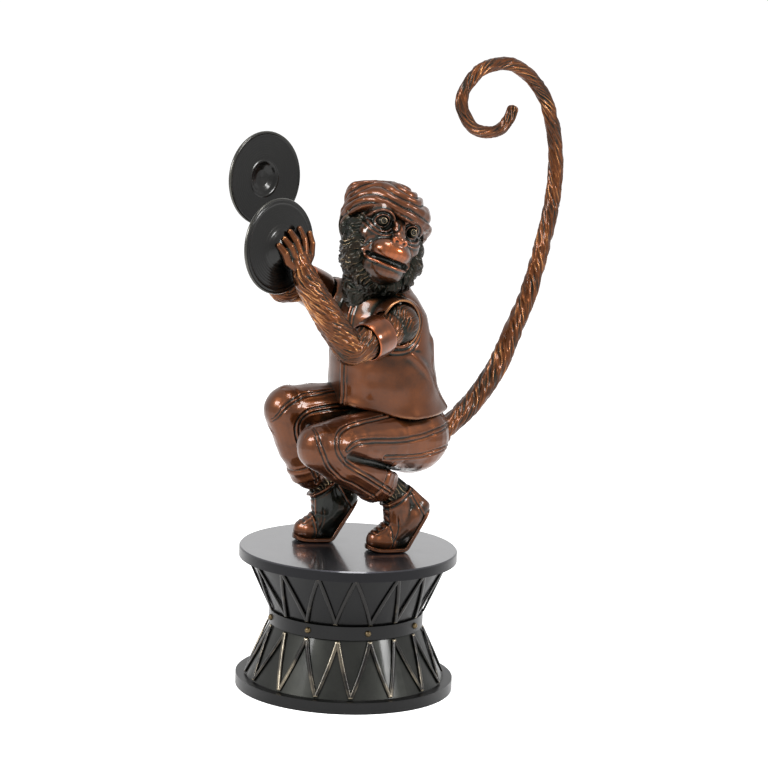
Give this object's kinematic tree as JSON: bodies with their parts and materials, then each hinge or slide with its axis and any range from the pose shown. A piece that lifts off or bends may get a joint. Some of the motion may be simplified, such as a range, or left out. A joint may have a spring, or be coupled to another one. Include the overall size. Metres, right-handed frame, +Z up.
{
  "type": "wind-up cymbal-clapping monkey",
  "caption": "Clockwork monkey figure crouching on a laced drum, its arms clapping a pair of cymbals, with a winding key, a turban and a long curled tail.",
  "frame": {"origin": "centre of the drum's underside, on the floor", "axes": "+Z up, the figure's body faces -Y, its own left side is +X"},
  "size_m": [0.217, 0.4325, 0.6253],
  "materials": {
    "bronze_dark": "near-black patina over cast bronze, satin, with faint brassy wear on edges",
    "bronze_chestnut": "chestnut-brown patina on cast bronze, polished on high places and black-green in recesses",
    "bronze_fur": "dark brown patina on chased bronze fur",
    "brass": "plain brass, lightly worn",
    "steel": "plain turned and pressed steel"
  },
  "bodies": {
    "figure": {"drum_top_plate": "bronze_dark", "drum_upper_shell": "bronze_dark", "drum_lower_shell": "bronze_dark", "waist_band": "bronze_dark", "base_ring": "bronze_dark", "upper_lacing": "bronze_dark", "lower_lacing": "bronze_dark", "left_boot": "bronze_chestnut", "right_boot": "bronze_chestnut", "left_sole": "bronze_chestnut", "right_sole": "bronze_chestnut", "left_trouser_leg": "bronze_chestnut", "right_trouser_leg": "bronze_chestnut", "seat": "bronze_chestnut", "jacket": "bronze_chestnut", "collar": "bronze_chestnut", "head": "bronze_chestnut", "muzzle": "bronze_chestnut", "turban": "bronze_chestnut", "left_sock": "bronze_fur", "right_sock": "bronze_fur", "ruff": "bronze_fur", "neck": "bronze_fur", "eyes": "bronze_fur", "tail": "bronze_fur", "tail_ring": "bronze_fur", "band_studs": "brass", "left_plate": "brass", "right_plate": "brass", "crosshead_bridge": "brass", "motor_deck": "brass", "base_cover": "steel", "tie_bolt": "steel", "boot_bolts": "steel", "shoulder_pins": "steel", "frame_pillars": "steel", "ratchet_click": "steel"},
    "left_arm": {"left_upper_arm": "bronze_fur", "left_armlet": "bronze_chestnut", "left_forearm": "bronze_fur", "left_hand": "bronze_chestnut", "left_cymbal": "bronze_dark", "left_crank": "steel"},
    "right_arm": {"right_upper_arm": "bronze_fur", "right_armlet": "bronze_chestnut", "right_forearm": "bronze_fur", "right_hand": "bronze_chestnut", "right_cymbal": "bronze_dark", "right_crank": "steel"},
    "crosshead": {"crosshead": "steel"},
    "winding_key": {"winding_key": "steel", "winding_arbor": "steel", "ratchet_wheel": "steel"},
    "great_wheel": {"great_wheel": "brass", "mainspring": "steel"},
    "cam_arbor": {"cam_arbor": "steel", "cam_pinion": "brass", "clap_cam": "brass"}
  },
  "joints": [
    {"name": "left_arm_swing", "type": "hinge", "parent": "figure", "child": "left_arm", "pos_m": [0.05, 0.012, 0.371], "axis": [0, 0, 1], "range_deg": [-9, 3]},
    {"name": "right_arm_swing", "type": "hinge", "parent": "figure", "child": "right_arm", "pos_m": [-0.05, 0.012, 0.38], "axis": [0, 0, 1], "range_deg": [-3, 9]},
    {"name": "crosshead_slide", "type": "slide", "parent": "figure", "child": "crosshead", "axis": [0, 1, 0], "range_m": [-0.0016, 0.0048]},
    {"name": "key_turn", "type": "hinge", "parent": "figure", "child": "winding_key", "pos_m": [0, 0.054, 0.313], "axis": [1, 0, 0], "continuous": true},
    {"name": "great_wheel_spin", "type": "hinge", "parent": "figure", "child": "great_wheel", "pos_m": [0, 0.054, 0.313], "axis": [1, 0, 0], "continuous": true},
    {"name": "cam_arbor_spin", "type": "hinge", "parent": "figure", "child": "cam_arbor", "pos_m": [0, 0.03538, 0.32862], "axis": [1, 0, 0], "continuous": true}
  ],
  "couplings": [
    {"joint": "right_arm_swing", "follows": "left_arm_swing", "ratio": -1},
    {"joint": "crosshead_slide", "follows": "left_arm_swing", "m_per_rad": -0.03},
    {"joint": "cam_arbor_spin", "follows": "great_wheel_spin", "ratio": -3}
  ]
}
